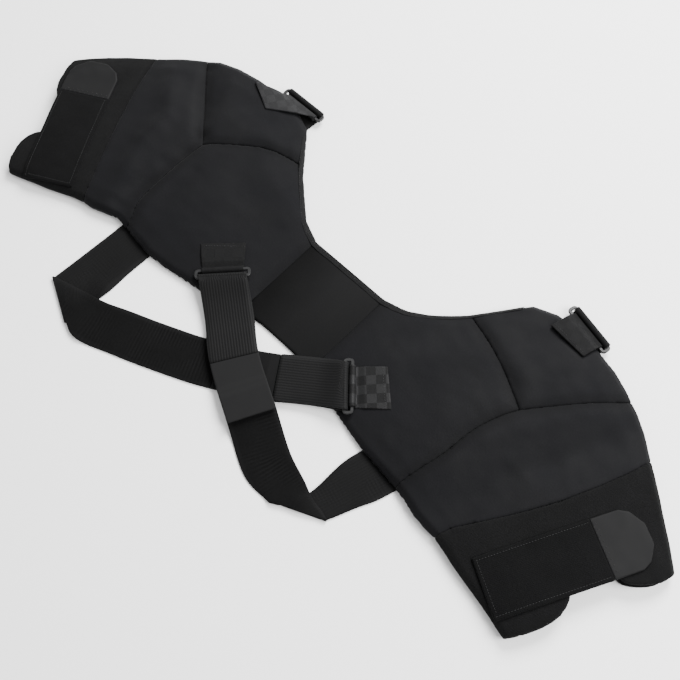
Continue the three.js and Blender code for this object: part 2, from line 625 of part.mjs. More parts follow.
// Cross straps: from a front ring under the panel, folded over at the hem side, across
// to the other shoulder's back ring, and back over themselves to a hook tab.
const routes = {
  left: {
    start: "left",
    end: "right",
    under: [[-0.43, 0.75], [-0.437, 0.1], [-0.444, -0.55], [-0.451, -1.1]],
    crease: [[-0.514, -1.43], [-0.404, -1.69]],
    across: [[-0.356, -1.47], [-0.28, -1.365], [-0.207, -1.255], [-0.097, -1.061], [-0.015, -0.883], [0.061, -0.705], [0.143, -0.47]],
  },
  right: {
    start: "right",
    end: "left",
    under: [[0.5, 0.8], [0.462, 0.3], [0.42, -0.3], [0.394, -0.65], [0.365, -1.0]],
    crease: [[0.386, -1.29], [0.284, -1.5]],
    across: [[0.272, -1.365], [0.202, -1.305], [0.102, -1.1], [-0.033, -0.82], [-0.118, -0.565]],
  },
};
const laid = [];
for (const side of ["left", "right"]) {
  const route = routes[side];
  const from = rings[route.start].front;
  const to = rings[route.end].back;
  const crease = route.crease.map(plan);
  const creaseMiddle = crease[0].clone().lerp(crease[1], 0.5);
  const creaseHalf = crease[1].clone().sub(crease[0]).multiplyScalar(0.5);
  const under = route.under.map(plan);
  const turned = (a, b) => (a.dot(b) < 0 ? a.clone().negate() : a.clone());
  const sideOf = (a, b) => {
    const way = b.clone().sub(a).normalize();
    return V2(-way.y, way.x);
  };
  const fromHalf = turned(from.along.clone().multiplyScalar(strapWidth / 2), sideOf(from.strapBar, under[0]));
  const underHalf = turned(creaseHalf, sideOf(under.at(-1), creaseMiddle));
  const underLines = crossLinesOf([from.strapBar, ...under, creaseMiddle], strapWidth, 20, fromHalf, underHalf);
  const underHeld = { 0: from.height - strapLoop + loopSeat, 1: 0 };
  const underStrip = lay(underLines, strapThick, [], false, underHeld);

  const pathOver = route.across.map(plan);
  const overHalf = turned(creaseHalf, sideOf(creaseMiddle, pathOver[0]));
  const toHalf = turned(to.along.clone().multiplyScalar(strapWidth / 2), sideOf(pathOver.at(-1), to.strapBar));
  const overLines = crossLinesOf([creaseMiddle, ...pathOver, to.strapBar], strapWidth, 30, overHalf, toHalf);
  const overHeld = { [overLines.length - 1]: to.height - strapLoop + loopSeat };
  const below = [{ strip: underStrip, gap: foldGap }, ...laid];
  const overStrip = lay(overLines, strapThick, below, true, overHeld);

  const foldWay = V2(-creaseHalf.y, creaseHalf.x).normalize();
  if (foldWay.y > 0) foldWay.negate();
  const inner = (overStrip[0].low - strapThick) / 2;
  const fold = loopRound(
    creaseMiddle,
    foldWay,
    creaseHalf.length() * 2,
    inner,
    inner + strapThick,
    overStrip[0].low / 2 + strapThick / 2,
    false,
  );

  const backLines = overLines.slice().reverse();
  const backWays = [];
  let run = 0;
  let tabStart = -1;
  let tabEnd = -1;
  const backLength = to.middle.distanceTo(plan(side === "left" ? [0.063, -0.7] : [-0.036, -0.826]));
  for (let i = 0; i < backLines.length; i++) {
    const middle = backLines[i][0].clone().lerp(backLines[i][1], 0.5);
    if (i) run += middle.distanceTo(backWays[i - 1]);
    backWays.push(middle);
    if (tabStart < 0 && run > backLength) tabStart = i;
    if (tabEnd < 0 && run > backLength + crossTabLength) tabEnd = i;
  }
  const backHeld = { 0: to.height + loopInner - loopSeat };
  const backStrip = lay(backLines.slice(0, tabStart), strapThick, [{ strip: overStrip, gap: layerGap }], true, backHeld);
  const strapLoopHalf = loopRound(to.strapBar, to.way, strapWidth, loopInner, strapLoop, to.height, false);
  const frontLoop = loopRound(from.strapBar, from.way, strapWidth, loopInner, strapLoop, from.height, true);
  const runs = [underStrip, overStrip, backStrip].map(stripSolid);
  let body = frontLoop;
  for (const part of [runs[0], fold, runs[1], strapLoopHalf, runs[2]]) body = body.add(part);
  piece(side + "_cross_strap", whole(body), "elastic");

  const cut = layerGap / backWays[tabStart].distanceTo(backWays[tabStart - 1]);
  const tabLines = backLines.slice(tabStart - 1, tabEnd);
  tabLines[0] = tabLines[0].map((p, k) => p.clone().lerp(tabLines[1][k], cut * 1.2));
  const tabStrip = lay(tabLines, hookThick, [{ strip: overStrip, gap: layerGap }], true);
  piece(side + "_cross_tab", stripSolid(tabStrip), "hook");
  laid.push({ strip: underStrip, gap: layerGap }, { strip: overStrip, gap: layerGap });
  laid.push({ strip: backStrip, gap: layerGap }, { strip: tabStrip, gap: layerGap });
}

// Arm straps over the cuffs' slits, with rounded hook tabs
const armStraps = { right: [0.733, -0.83, 62.1], left: [0.722, -0.81, 61.5] };
for (const [side, sign] of Object.entries(sides)) {
  const [xs, ys, degrees] = armStraps[side];
  const start = plan([xs, ys]);
  start.x *= sign;
  const angle = THREE.MathUtils.degToRad(degrees);
  const way = V2(Math.cos(angle) * sign, Math.sin(angle));
  const half = V2(-way.y, way.x);
  const cloth = (from, to, thick, round) => {
    const count = Math.round((to - from) / 11);
    const grid = (rise) =>
      Array.from({ length: count + 1 }, (_, i) => {
        const run = mix(from, to, i / count);
        const left = Math.min((to - run) / round, 1);
        const width = armStrapWidth * (round ? Math.sqrt(Math.max(1 - (1 - left) ** 2, 0.12)) : 1);
        return Array.from({ length: 7 }, (_, k) => {
          const p = start.clone().addScaledVector(way, run).addScaledVector(half, width * (k / 6 - 0.5));
          const top = bodyTop(p.x, p.y) ?? tubeHeight / 2;
          return new THREE.Vector3(p.x, p.y, top + layerGap * 1.5 + rise);
        });
      });
    return whole(slab(grid(thick), grid(0)).subtract(cuffs[side].translate([0, 0, layerGap])));
  };
  piece(side + "_arm_strap", cloth(0, armStrapLength, armStrapThick, 0), "loop");
  piece(side + "_arm_tab", cloth(armStrapLength + seamGap, armStrapLength + armTabLength, hookThick, armTabRound), "hook");
}

export default brace;
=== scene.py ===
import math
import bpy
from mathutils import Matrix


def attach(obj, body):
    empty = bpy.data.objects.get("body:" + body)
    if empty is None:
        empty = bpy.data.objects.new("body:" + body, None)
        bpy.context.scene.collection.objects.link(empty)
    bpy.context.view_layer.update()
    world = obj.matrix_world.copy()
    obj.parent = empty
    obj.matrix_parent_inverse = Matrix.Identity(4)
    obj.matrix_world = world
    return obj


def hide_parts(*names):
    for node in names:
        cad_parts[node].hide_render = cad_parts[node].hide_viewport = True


bl_info = {
    "name": "Double Shoulder Brace",
    "version": (1, 0, 0),
    "blender": (4, 5, 0),
    "location": "View3D > Sidebar > Brace",
    "description": "Dresses the shoulder brace in padded cloth, pile, elastic and webbing",
    "category": "Object",
}

import bmesh
import bpy
import numpy as np
from bpy.props import FloatProperty, FloatVectorProperty, IntProperty, PointerProperty
from bpy.types import Operator, Panel, PropertyGroup
from mathutils import Matrix, Vector, noise
from mathutils.bvhtree import BVHTree

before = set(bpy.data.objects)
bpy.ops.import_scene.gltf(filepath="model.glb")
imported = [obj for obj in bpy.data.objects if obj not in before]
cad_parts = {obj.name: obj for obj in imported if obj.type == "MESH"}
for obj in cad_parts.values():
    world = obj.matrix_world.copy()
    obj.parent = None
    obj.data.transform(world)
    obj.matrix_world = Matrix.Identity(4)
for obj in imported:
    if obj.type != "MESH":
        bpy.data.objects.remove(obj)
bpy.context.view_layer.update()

MM = 0.001
SIDES = ("right", "left")
# Turn of the pile's ribs on each side, in radians, on the cuffs and on the wrap straps
CUFF_TURNS = (0.45, -0.45)
STRAP_TURNS = (0.48, -0.48)

# Points of a solid nearer than this are one, in metres
WELD = 0.000002
# Smoothing: its factor, and its steps for padded cloth, for strips and for an outline that
# is to be round
SMOOTHING = 0.5
PADDED_RELAX = 3
STRIP_RELAX = 2
ROUND_OUTLINE = 30
# Finer faces for small pieces, as a share of the step
BRIDGE_FINE = 0.7
BINDING_FINE = 0.6
# Cloth lies still below this height and is free to fold from this much higher, in metres
STILL_BELOW = 0.0035
FREE_OVER = 0.0045
TABLE_GAP = 0.0001
# Unevenness of the cloth: waves to the metre and layer in the noise, slow and quick, and the
# share of the quick one
SLOW_WAVES = (26, 0)
QUICK_WAVES = (75, 5)
QUICK_SHARE = 0.3
NOISE_ROW = 3.1


class BraceSizes(PropertyGroup):
    """Sizes of the cloth's surface"""

    cloth_step: FloatProperty(
        name="Cloth step",
        description="Size of the faces of the padded cloth",
        default=0.00155,
        unit="LENGTH",
    )
    strip_step: FloatProperty(
        name="Strip step",
        description="Size of the faces of tabs and wrap straps",
        default=0.0007,
        unit="LENGTH",
    )
    fold_depth: FloatProperty(
        name="Fold depth",
        description="Depth of the cloth's folds beside their table's value",
        default=1.0,
        subtype="FACTOR",
    )
    ripple: FloatProperty(
        name="Ripple",
        description="Height of the cloth's slow unevenness",
        default=0.0009,
        unit="LENGTH",
    )
    stitch_length: FloatProperty(
        name="Stitch length",
        description="Length of one stitch",
        default=0.0022,
        unit="LENGTH",
    )
    stitch_gap: FloatProperty(
        name="Stitch gap",
        description="Cloth between two stitches",
        default=0.0008,
        unit="LENGTH",
    )
    thread: FloatProperty(
        name="Thread",
        description="Thickness of the sewing thread",
        default=0.0006,
        unit="LENGTH",
    )
    edge_push: FloatProperty(
        name="Edge push",
        description="How far the softened cloth is let out again along its normals",
        default=0.0007,
        unit="LENGTH",
    )
    seam_depth: FloatProperty(
        name="Seam depth",
        description="Depth of the soft valley along a seam",
        default=0.0017,
        unit="LENGTH",
    )
    seam_half: FloatProperty(
        name="Seam half width",
        description="Half width of the soft valley along a seam",
        default=0.0078,
        unit="LENGTH",
    )
    rib: FloatProperty(
        name="Elastic rib",
        description="Width of one rib of the elastic",
        default=0.003,
        unit="LENGTH",
    )
    seed: IntProperty(name="Seed", description="Which unevenness is used", default=7)


def colour_property(label, description, value):
    return FloatVectorProperty(
        name=label, description=description, default=value, size=3, subtype="COLOR", min=0, max=1
    )


class BraceColours(PropertyGroup):
    """Colours of the brace's finishes"""

    padded: colour_property("Padded cloth", "Stretch cloth of panels and sleeves", (0.0027, 0.0027, 0.0033))
    bridge: colour_property("Bridge cloth", "Plain cloth behind the neck", (0.0035, 0.0035, 0.0036))
    pile: colour_property("Pile", "Loop field of the cuffs", (0.0031, 0.0031, 0.0032))
    strap_pile: colour_property("Strap pile", "Pile of the wrap straps", (0.0024, 0.0024, 0.0025))
    hook: colour_property("Hook tape", "Grey hook tabs", (0.0072, 0.0072, 0.0074))
    # Painted shadow: the hook tape made darker where it lies in the crossing strap's shadow
    shadowed_hook: colour_property("Covered hook tape", "Hook tab under the crossing", (0.003, 0.003, 0.0031))
    elastic: colour_property("Elastic", "Cross straps", (0.0032, 0.0032, 0.0033))
    webbing: colour_property("Webbing", "Tabs that carry the rings", (0.0046, 0.0046, 0.0048))
    plastic: colour_property("Plastic", "Rings", (0.009, 0.009, 0.0094))
    thread: colour_property("Thread", "Sewing thread", (0.012, 0.012, 0.0125))
    floor: colour_property("Floor", "Studio floor", (0.96, 0.96, 0.96))


def sizes():
    return bpy.context.scene.brace_sizes


def colours():
    return bpy.context.scene.brace_colours


# Materials

# Where most values of a noise lie: of a slow one and of a fine one
SLOW_SPAN = (0.3, 0.7)
FINE_SPAN = (0.25, 0.75)
SHEEN_ROUGHNESS = 0.5
CLOTH_SHINE = 0.08
# Turn of the knit's rows, in radians
KNIT_TURN = 0.6
# Distances over which a tone changes, in metres: the painted shade away from a seam, the
# painted shade over the bridge from its left seam, to its right seam and up from its lower
# edge, and at a strap's woven edge
SEAM_SHADE = (0.0008, 0.012)
BRIDGE_LEFT_SHADE = (-0.042, 0.015)
BRIDGE_RIGHT_SHADE = (0.025, 0.06)
BRIDGE_LOW_SHADE = (-0.03, 0.06)
STRAP_EDGE = (0.0212, 0.0242)


class Finish:
    """Builds one material's nodes"""

    def __init__(self, name):
        self.material = bpy.data.materials.new(name)
        self.material.use_nodes = True
        self.tree = self.material.node_tree
        self.shader = self.tree.nodes["Principled BSDF"]
        self.place = self.tree.nodes.new("ShaderNodeTexCoord").outputs["Object"]

    def node(self, kind, settings=None, **inputs):
        """A node with its inputs linked or set; i0 and i1 are inputs by number"""
        made = self.tree.nodes.new(kind)
        for key, value in (settings or {}).items():
            setattr(made, key, value)
        for key, value in inputs.items():
            numbered = key[0] == "i" and key[1:].isdigit()
            socket = made.inputs[int(key[1:]) if numbered else key]
            if isinstance(value, bpy.types.NodeSocket):
                self.tree.links.new(value, socket)
            else:
                socket.default_value = value
        return made

    def turned(self, angle):
        return self.node("ShaderNodeMapping", Vector=self.place, Rotation=(0, 0, angle)).outputs[0]

    def noise(self, scale, detail=2.0, roughness=0.5):
        made = self.node(
            "ShaderNodeTexNoise", Vector=self.place, Scale=scale, Detail=detail, Roughness=roughness
        )
        return made.outputs["Fac"]

    def wave(self, scale, angle, distortion):
        made = self.node(
            "ShaderNodeTexWave",
            {"wave_type": "BANDS", "bands_direction": "X"},
            Vector=self.turned(angle),
            Scale=scale,
            Distortion=distortion,
        )
        return made.outputs["Fac"]

    def math(self, operation, a, b=0.0):
        return self.node("ShaderNodeMath", {"operation": operation}, i0=a, i1=b).outputs[0]

    def sum(self, *parts):
        total = parts[0]
        for part in parts[1:]:
            total = self.math("ADD", total, part)
        return total

    def product(self, *parts):
        total = parts[0]
        for part in parts[1:]:
            total = self.math("MULTIPLY", total, part)
        return total

    def ramp(self, value, low, high, start=0.0, end=1.0):
        """From low to high while the value goes from start to end"""
        made = self.node("ShaderNodeMapRange", Value=value)
        for key, number in (("From Min", start), ("From Max", end), ("To Min", low), ("To Max", high)):
            made.inputs[key].default_value = number
        return made.outputs[0]

    def shade(self, base, factor):
        """The base colour made darker or lighter by a factor"""
        made = self.node("ShaderNodeVectorMath", {"operation": "SCALE"}, i0=tuple(base), Scale=factor)
        return made.outputs[0]

    def finish(self, colour, rough, height, strength, depth, sheen=0.0, shine=CLOTH_SHINE):
        links = self.tree.links
        links.new(colour, self.shader.inputs["Base Color"])
        if isinstance(rough, bpy.types.NodeSocket):
            links.new(rough, self.shader.inputs["Roughness"])
        else:
            self.shader.inputs["Roughness"].default_value = rough
        bump = self.node("ShaderNodeBump", Strength=strength, Distance=depth, Height=height)
        links.new(bump.outputs[0], self.shader.inputs["Normal"])
        self.shader.inputs["Sheen Weight"].default_value = sheen
        self.shader.inputs["Sheen Roughness"].default_value = SHEEN_ROUGHNESS
        self.shader.inputs["Specular IOR Level"].default_value = shine
        return self.material


def knit_finish(name, base):
    """Fine jersey knit with a slow mottle and scattered lint, and painted shade darker beside the seams"""
    f = Finish(name)
    slow = f.noise(22, 3)
    fine = f.noise(620, 2)
    rows = f.wave(330, KNIT_TURN, 1.5)
    mottle = f.sum(f.ramp(slow, -0.16, 0.16, *SLOW_SPAN), f.ramp(fine, -0.16, 0.16, *FINE_SPAN))
    lint = f.ramp(f.noise(1500, 1), 0, 0.5, start=0.72, end=0.8)
    seam = f.node("ShaderNodeAttribute", {"attribute_name": "seam"}).outputs["Fac"]
    # Painted shade: the tone darkens towards each seam, where shade falls in the seam's valley
    tone = f.sum(mottle, f.ramp(seam, 0.6, 1.0, *SEAM_SHADE), lint)
    height = f.sum(f.product(rows, 0.5), fine)
    rough = f.ramp(slow, 0.68, 0.82, *SLOW_SPAN)
    return f.finish(f.shade(base, tone), rough, height, strength=0.35, depth=0.0004, sheen=0.025)


def stretch_finish(name, base):
    """Smooth stretch cloth, with painted shade darker beside its left and right seams and towards its lower
    edge
    """
    f = Finish(name)
    place = f.node("ShaderNodeSeparateXYZ", Vector=f.place)
    x, y = place.outputs[0], place.outputs[1]
    # Painted shade: the tone darkens towards the left seam, the right seam and the lower edge
    left = f.ramp(f.sum(x, f.product(f.noise(18, 2), 0.03)), 0.1, 0.95, *BRIDGE_LEFT_SHADE)
    right = f.ramp(x, 1.0, 0.72, *BRIDGE_RIGHT_SHADE)
    low = f.ramp(y, 0.75, 1.15, *BRIDGE_LOW_SHADE)
    rows = f.wave(660, KNIT_TURN, 1.5)
    fine = f.noise(1100, 2)
    tone = f.sum(f.product(left, right, low, 1.3), f.ramp(fine, -0.1, 0.1, *FINE_SPAN))
    height = f.sum(rows, fine)
    return f.finish(f.shade(base, tone), 0.75, height, strength=0.25, depth=0.0002, sheen=0.01, shine=0.06)


def pile_finish(name, base, angle, rib, sheen):
    """Brushed loops with faint ribs"""
    f = Finish(name)
    ribs = f.wave(0.5 / rib, angle, 2.2)
    fuzz = f.noise(950, 3, roughness=0.7)
    slow = f.noise(30, 3)
    mottle = f.ramp(slow, -0.14, 0.14, *SLOW_SPAN)
    tone = f.sum(f.ramp(fuzz, 0.45, 1.55, *SLOW_SPAN), f.ramp(ribs, -0.1, 0.12), mottle)
    height = f.sum(fuzz, f.product(ribs, 0.35))
    return f.finish(f.shade(base, tone), 0.95, height, strength=0.8, depth=0.0007, sheen=sheen)


def hook_finish(name, base):
    """Smooth hook tape with rows of fine hooks"""
    f = Finish(name)
    dots = f.node("ShaderNodeTexVoronoi", Vector=f.place, Scale=900.0, Randomness=0.25).outputs["Distance"]
    slow = f.noise(35, 3)
    tone = f.sum(f.ramp(dots, 1.1, 0.86, start=0, end=0.7), f.ramp(slow, -0.1, 0.1, *SLOW_SPAN))
    rough = f.ramp(slow, 0.6, 0.75, *SLOW_SPAN)
    return f.finish(f.shade(base, tone), rough, dots, strength=0.3, depth=0.0003)


def strap_finish(name, base, rib):
    """Woven elastic: ribs along it on the bare run, patches of ribs across it on the pile run"""
    f = Finish(name)
    lay = f.node("ShaderNodeAttribute", {"attribute_name": "lay"})
    parts = f.node("ShaderNodeSeparateXYZ", Vector=lay.outputs["Vector"])
    across, along, pile = parts.outputs[0], parts.outputs[1], parts.outputs[2]
    lengthwise = f.math("SINE", f.product(across, math.tau / rib))
    crosswise = f.math("SINE", f.product(along, 0.8 * math.tau / rib))
    bare = f.math("SUBTRACT", 1.0, pile)
    patch = f.ramp(f.noise(26, 2), 0, 1, start=0.42, end=0.6)
    fuzz = f.noise(900, 3, roughness=0.7)
    slow = f.noise(24, 3)
    ribs = f.sum(f.product(lengthwise, bare), f.product(crosswise, f.product(pile, patch)))
    mottle = f.ramp(slow, 0.86, 1.14, *SLOW_SPAN)
    shown_ribs = f.product(ribs, f.ramp(pile, 0.15, 0.3))
    shown_fuzz = f.product(f.ramp(fuzz, -0.3, 0.3, *SLOW_SPAN), f.ramp(pile, 0.5, 1.0))
    edge = f.ramp(f.math("ABSOLUTE", across), 0, 0.45, *STRAP_EDGE)
    tone = f.math("SUBTRACT", f.sum(mottle, shown_ribs, shown_fuzz, edge), f.product(pile, 0.36))
    height = f.sum(f.product(ribs, 0.4), fuzz)
    rough = f.ramp(pile, 0.62, 0.95)
    return f.finish(f.shade(base, tone), rough, height, strength=0.45, depth=0.0005, sheen=0.02)


def webbing_finish(name, base, angle, ground, squares):
    """Checkered jacquard webbing: shiny squares on a matte ground; the squares' extra lightness is partly
    the woven checks and partly a painted highlight
    """
    f = Finish(name)
    grid = f.node("ShaderNodeTexChecker", Vector=f.turned(angle), Scale=98.0).outputs["Fac"]
    weave = f.wave(900, angle, 0.5)
    fine = f.noise(700, 2)
    # Painted light and shade: the ground's tone and the squares' painted highlight are set per tab on one
    # webbing
    checks = f.ramp(grid, ground, ground + squares)
    tone = f.sum(checks, f.ramp(fine, -0.2, 0.2, *SLOW_SPAN), f.ramp(weave, -0.08, 0.08))
    rough = f.ramp(grid, 0.72, 0.72 - 0.15 * squares)
    height = f.sum(grid, f.product(weave, 0.5))
    shine = CLOTH_SHINE + 0.06 * squares
    return f.finish(f.shade(base, tone), rough, height, strength=0.5, depth=0.0004, shine=shine)


def plastic_finish(name, base):
    """Moulded plastic with a fine grain"""
    f = Finish(name)
    fine = f.noise(1400, 2)
    slow = f.noise(90, 2)
    tone = f.ramp(slow, 0.9, 1.15, *SLOW_SPAN)
    rough = f.ramp(slow, 0.26, 0.4, *SLOW_SPAN)
    return f.finish(f.shade(base, tone), rough, fine, strength=0.15, depth=0.0001, shine=0.3)


def thread_finish(name, base):
    """Twisted sewing thread"""
    f = Finish(name)
    twist = f.wave(1500, 0.7, 0.5)
    tone = f.ramp(twist, 0.7, 1.3)
    return f.finish(f.shade(base, tone), 0.55, twist, strength=0.5, depth=0.0002, sheen=0.1)


def paper_finish(name, base):
    """Matte studio paper"""
    f = Finish(name)
    tone = f.ramp(f.noise(3), 0.995, 1.0)
    return f.finish(f.shade(base, tone), 0.9, f.noise(300), strength=0.02, depth=0.0001)


# Cloth


def add_piece(name, mesh, material, nodes=()):
    """Adds a smooth piece to the frame, in place of the nodes that it stands for"""
    piece = bpy.data.objects.new(name, mesh)
    bpy.context.scene.collection.objects.link(piece)
    mesh.materials.clear()
    mesh.materials.append(material)
    for face in mesh.polygons:
        face.use_smooth = True
    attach(piece, "root")
    if nodes:
        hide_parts(*nodes)
    return piece


def merged_copy(node):
    """The node's solid as one closed mesh"""
    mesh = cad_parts[node].data.copy()
    bm = bmesh.new()
    bm.from_mesh(mesh)
    bmesh.ops.remove_doubles(bm, verts=bm.verts, dist=WELD)
    bmesh.ops.dissolve_degenerate(bm, edges=bm.edges, dist=WELD)
    bm.to_mesh(mesh)
    bm.free()
    return mesh


def even_cloth(mesh, step, relax, flow=0):
    """The solid with even small faces and soft edges; flow rounds its outline in plan"""
    holder = bpy.data.objects.new("cloth_holder", mesh)
    bpy.context.scene.collection.objects.link(holder)
    even = holder.modifiers.new("even", "REMESH")
    even.mode = "VOXEL"
    even.voxel_size = step
    even.use_smooth_shade = True
    soft = holder.modifiers.new("soft", "SMOOTH")
    soft.factor = SMOOTHING
    soft.iterations = relax
    plan = holder.modifiers.new("plan", "SMOOTH")
    plan.factor = SMOOTHING
    plan.iterations = flow
    plan.use_z = False
    shown = holder.evaluated_get(bpy.context.evaluated_depsgraph_get())
    made = bpy.data.meshes.new_from_object(shown)
    bpy.data.objects.remove(holder)
    return made


# Folds in the cloth, in millimetres: from and to, height (below 0 for a valley), half width
FOLDS = (
    # left sleeve, a valley beside its seams and a ridge behind that
    (-306, 140, -243, 66, -6.0, 12),
    (-243, 66, -246, 18, -6.0, 12),
    (-246, 18, -248, -52, -6.0, 12),
    (-335, 108, -291, 60, 4.2, 14),
    (-291, 60, -287, 23, 4.2, 14),
    (-287, 23, -262, -50, 4.2, 13),
    # left front panel
    (-246, 86, -212, 150, 1.8, 14),
    (-252, 92, -285, 142, -2.6, 9),
    # left back panel
    (-58, 40, -64, -40, -1.6, 8),
    (-150, 88, -95, 70, 2.2, 18),
    (-185, 60, -190, -40, 2.4, 20),
    (-150, 20, -120, -50, 1.6, 26),
    (-212, 30, -210, -60, -2.2, 10),
    (-155, 135, -210, 108, 2.2, 16),
    # bridge
    (-44, 60, -46, -20, -3.0, 10),
    (-30, 64, -40, 10, -1.2, 12),
    (12, 60, 16, -30, 1.8, 22),
    (46, 40, 44, -20, -1.6, 8),
    # right back panel
    (60, 48, 66, -38, -1.1, 9),
    (150, 70, 120, 20, 2.2, 18),
    (196, 40, 186, -45, 2.4, 18),
    (212, 30, 200, -60, -1.6, 9),
    (110, 30, 150, -50, 1.4, 24),
    # right front panel
    (200, 110, 240, 92, 2.0, 13),
    (243, 68, 247, 122, -1.8, 9),
    (262, 112, 282, 140, 1.6, 14),
    # right sleeve
    (221, -49, 236, 19, 2.2, 12),
    (236, 19, 278, 84, 2.4, 12),
    (278, 84, 301, 121, 2.0, 12),
    (257, -69, 278, 5, -4.0, 14),
    (278, 5, 316, 74, -4.4, 14),
    (316, 74, 334, 125, -5.0, 14),
    # cuffs
    (300, -70, 340, 30, 0.8, 16),
    (-296, -62, -330, 20, 0.8, 16),
)


# Seams in plan, in millimetres: where two parts of the cloth are sewn together
SEAMS = (
    ((145, 111), (171, 102), (204, 87), (241, 66)),
    ((241, 66), (229, 42), (220, 14), (216, -19), (209, -49), (204, -73)),
    ((241, 66), (261, 90), (288, 121), (313, 147)),
    ((-132, 124), (-154, 119), (-181, 107), (-211, 84), (-235, 64)),
    ((-235, 64), (-236, 37), (-235, -2), (-232, -36), (-220, -64)),
    ((-235, 64), (-268, 97), (-315, 145)),
    ((52, 70), (52, -18)),
    ((-52, 70), (-52, -18)),
)


def seam_distance(x, y):
    """Distance in metres from the nearest seam, at plan points in metres"""
    near = np.full_like(x, 1.0)
    for line in SEAMS:
        for (ax, ay), (bx, by) in zip(line, line[1:]):
            ax, ay, dx, dy = ax * MM, ay * MM, (bx - ax) * MM, (by - ay) * MM
            t = np.clip(((x - ax) * dx + (y - ay) * dy) / (dx * dx + dy * dy), 0, 1)
            near = np.minimum(near, np.hypot(x - ax - t * dx, y - ay - t * dy))
    return near


def fold_height(x, y):
    """Height of the folds, in metres, at plan points in metres; half of it at a fold's ends"""
    total = np.zeros_like(x)
    for ax, ay, bx, by, high, half in FOLDS:
        ax, ay, bx, by, high, half = (n * MM for n in (ax, ay, bx, by, high, half))
        dx, dy = bx - ax, by - ay
        t = ((x - ax) * dx + (y - ay) * dy) / (dx * dx + dy * dy)
        c = np.clip(t, 0, 1)
        d2 = (x - ax - c * dx) ** 2 + (y - ay - c * dy) ** 2
        total += high * np.exp(-d2 / half**2) * (0.5 + 0.5 * np.sin(np.pi * c) ** 2)
    return total * sizes().fold_depth


def waves(x, y, per_metre, layer):
    """Smooth unevenness between -1 and 1 at plan points in metres"""
    seed = Vector((sizes().seed, NOISE_ROW, layer))
    points = (Vector((a * per_metre, b * per_metre, 0)) for a, b in zip(x, y))
    return np.array([noise.noise(point + seed) for point in points])


def settle(mesh):
    """Lays folds and a slow unevenness into cloth that stays above the table"""
    s = sizes()
    co = np.empty(len(mesh.vertices) * 3)
    mesh.vertices.foreach_get("co", co)
    co = co.reshape(-1, 3)
    out = np.empty(len(mesh.vertices) * 3)
    mesh.vertex_normals.foreach_get("vector", out)
    co += out.reshape(-1, 3) * s.edge_push
    co[:, 2] = np.maximum(co[:, 2], 0)
    x, y, z = co.T
    free = np.clip((z - STILL_BELOW) / FREE_OVER, 0, 1)
    near = seam_distance(x, y)
    # Distance from the nearest seam, which the knit finish turns into painted shade beside the seams
    mesh.attributes.new("seam", "FLOAT", "POINT").data.foreach_set("value", near)
    valley = s.seam_depth * np.exp(-((near / s.seam_half) ** 2))
    uneven = waves(x, y, *SLOW_WAVES) + QUICK_SHARE * waves(x, y, *QUICK_WAVES)
    rise = (fold_height(x, y) - valley + s.ripple * uneven) * free
    co[:, 2] = np.maximum(z + rise, np.minimum(z, TABLE_GAP))
    mesh.vertices.foreach_set("co", co.ravel())
    mesh.update()


def lay_padding(node, name, material, step):
    """A padded part, soft all over"""
    mesh = even_cloth(merged_copy(node), step, PADDED_RELAX)
    mesh.name = name
    settle(mesh)
    piece = add_piece(name, mesh, material, (node,))


def lay_strip(node, name, material, step, settled=False, flow=0):
    """A tab, strap or binding, which follows the cloth below it when it is settled"""
    mesh = even_cloth(merged_copy(node), step, STRIP_RELAX, flow)
    mesh.name = name
    if settled:
        settle(mesh)
    add_piece(name, mesh, material, (node,))


class BRACE_OT_bridge(Operator):
    """Makes the plain cloth bridge behind the neck"""

    bl_idname = "brace.bridge"
    bl_label = "Neck Bridge"

    def execute(self, context):
        cloth = stretch_finish("bridge_cloth", colours().bridge)
        step = sizes().cloth_step * BRIDGE_FINE
        lay_padding("neck_bridge", "bridge_cloth", cloth, step)
        return {"FINISHED"}


class BRACE_OT_panels(Operator):
    """Makes the back and front panels of both shoulders"""

    bl_idname = "brace.panels"
    bl_label = "Shoulder Panels"

    def execute(self, context):
        cloth = knit_finish("padded_cloth", colours().padded)
        for side in SIDES:
            for part in ("back_panel", "front_panel"):
                node = f"{side}_{part}"
                lay_padding(node, node + "_cloth", cloth, sizes().cloth_step)
        return {"FINISHED"}


class BRACE_OT_sleeves(Operator):
    """Makes both padded sleeves"""

    bl_idname = "brace.sleeves"
    bl_label = "Sleeves"

    def execute(self, context):
        cloth = bpy.data.materials["padded_cloth"]
        for side in SIDES:
            node = f"{side}_sleeve"
            lay_padding(node, node + "_cloth", cloth, sizes().cloth_step)
        return {"FINISHED"}


class BRACE_OT_cuffs(Operator):
    """Makes both pile cuffs"""

    bl_idname = "brace.cuffs"
    bl_label = "Cuffs"

    def execute(self, context):
        for side, angle in zip(SIDES, CUFF_TURNS):
            pile = pile_finish(f"{side}_cuff_pile", colours().pile, angle, rib=0.0021, sheen=0.02)
            lay_padding(f"{side}_cuff", f"{side}_cuff_cloth", pile, sizes().cloth_step)
        return {"FINISHED"}


class BRACE_OT_arm_straps(Operator):
    """Makes the wrap straps over the cuffs and their hook tabs"""

    bl_idname = "brace.arm_straps"
    bl_label = "Arm Straps"

    def execute(self, context):
        step = sizes().strip_step
        hook = hook_finish("arm_hook", colours().hook)
        for side, angle in zip(SIDES, STRAP_TURNS):
            base = colours().strap_pile
            pile = pile_finish(f"{side}_strap_pile", base, angle, rib=0.0026, sheen=0.01)
            strap, tab = f"{side}_arm_strap", f"{side}_arm_tab"
            lay_strip(strap, strap + "_cloth", pile, step, settled=True)
            lay_strip(tab, tab + "_cloth", hook, step, settled=True, flow=ROUND_OUTLINE)
        return {"FINISHED"}


# Webbing tabs: turn of the checks, tone of the ground, and how much lighter the squares are.
# All four are one webbing: the differing ground tones are painted light and shade, and the
# differing lightness of the squares is a painted gloss highlight
WEBBING = {
    "right_back": (0.78, 0.7, 1.15),
    "left_back": (-0.78, 0.85, 0.06),
    "right_front": (-0.2, 0.85, 0.16),
    "left_front": (0.5, 2.3, 0.5),
}


